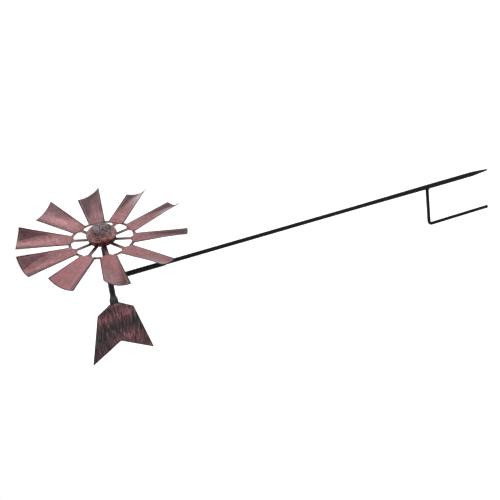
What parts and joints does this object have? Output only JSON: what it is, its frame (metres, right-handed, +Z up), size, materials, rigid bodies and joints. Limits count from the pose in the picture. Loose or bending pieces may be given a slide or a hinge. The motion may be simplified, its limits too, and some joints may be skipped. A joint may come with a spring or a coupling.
{
  "type": "wind spinner",
  "caption": "Windmill-style garden wind spinner: copper-brushed bladed wheel and arrow tail vane on a swivelling boom, on a thin pole with a forked ground stake.",
  "frame": {"origin": "on the stake's axis at ground level, at the top of the stake's straight round length, just under the foot bar", "axes": "+Z up the pole, -Y the way the wheel faces, +Y towards the tail vane, +X to the right of someone who looks at the wheel from the front"},
  "size_m": [0.3048, 0.3086, 0.996],
  "materials": {
    "black_paint": "black semi-gloss paint on steel",
    "blade_copper": "rose copper brushed over dark brown",
    "frame_copper": "dark copper paint",
    "tail_copper": "dark brown with dry-brushed copper streaks",
    "hub_copper": "brushed grey and copper over dark red-brown",
    "bare_steel": "zinc-plated steel",
    "nylon": "dark grey nylon"
  },
  "bodies": {
    "ground_stake": {"lower_stake": "black_paint", "upper_pole": "black_paint", "foot_fork": "black_paint", "fork_weld": "black_paint"},
    "head": {"boom_tube": "black_paint", "tail_plate": "tail_copper", "tail_welds": "black_paint", "pivot_socket": "black_paint", "thrust_pad": "nylon", "socket_weld": "black_paint", "boom_plug": "black_paint", "axle_bolt": "bare_steel", "axle_washers": "black_paint", "axle_spacer": "black_paint", "axle_nut": "black_paint"},
    "wheel": {"spoke_frame": "frame_copper", "blade_01": "blade_copper", "blade_02": "blade_copper", "blade_03": "blade_copper", "blade_04": "blade_copper", "blade_05": "blade_copper", "blade_06": "blade_copper", "blade_07": "blade_copper", "blade_08": "blade_copper", "blade_09": "blade_copper", "blade_10": "blade_copper", "hub_drum": "hub_copper", "hub_dome": "hub_copper", "hub_barrel": "black_paint", "hub_rivets": "black_paint", "front_bush": "nylon", "rear_bush": "nylon"}
  },
  "joints": [
    {"name": "head_swivel", "type": "hinge", "parent": "ground_stake", "child": "head", "pos_m": [0, 0, 0.696], "axis": [0, 0, 1], "continuous": true},
    {"name": "wheel_spin", "type": "hinge", "parent": "head", "child": "wheel", "pos_m": [0, -0.088, 0.696], "axis": [0, 1, 0], "continuous": true}
  ]
}
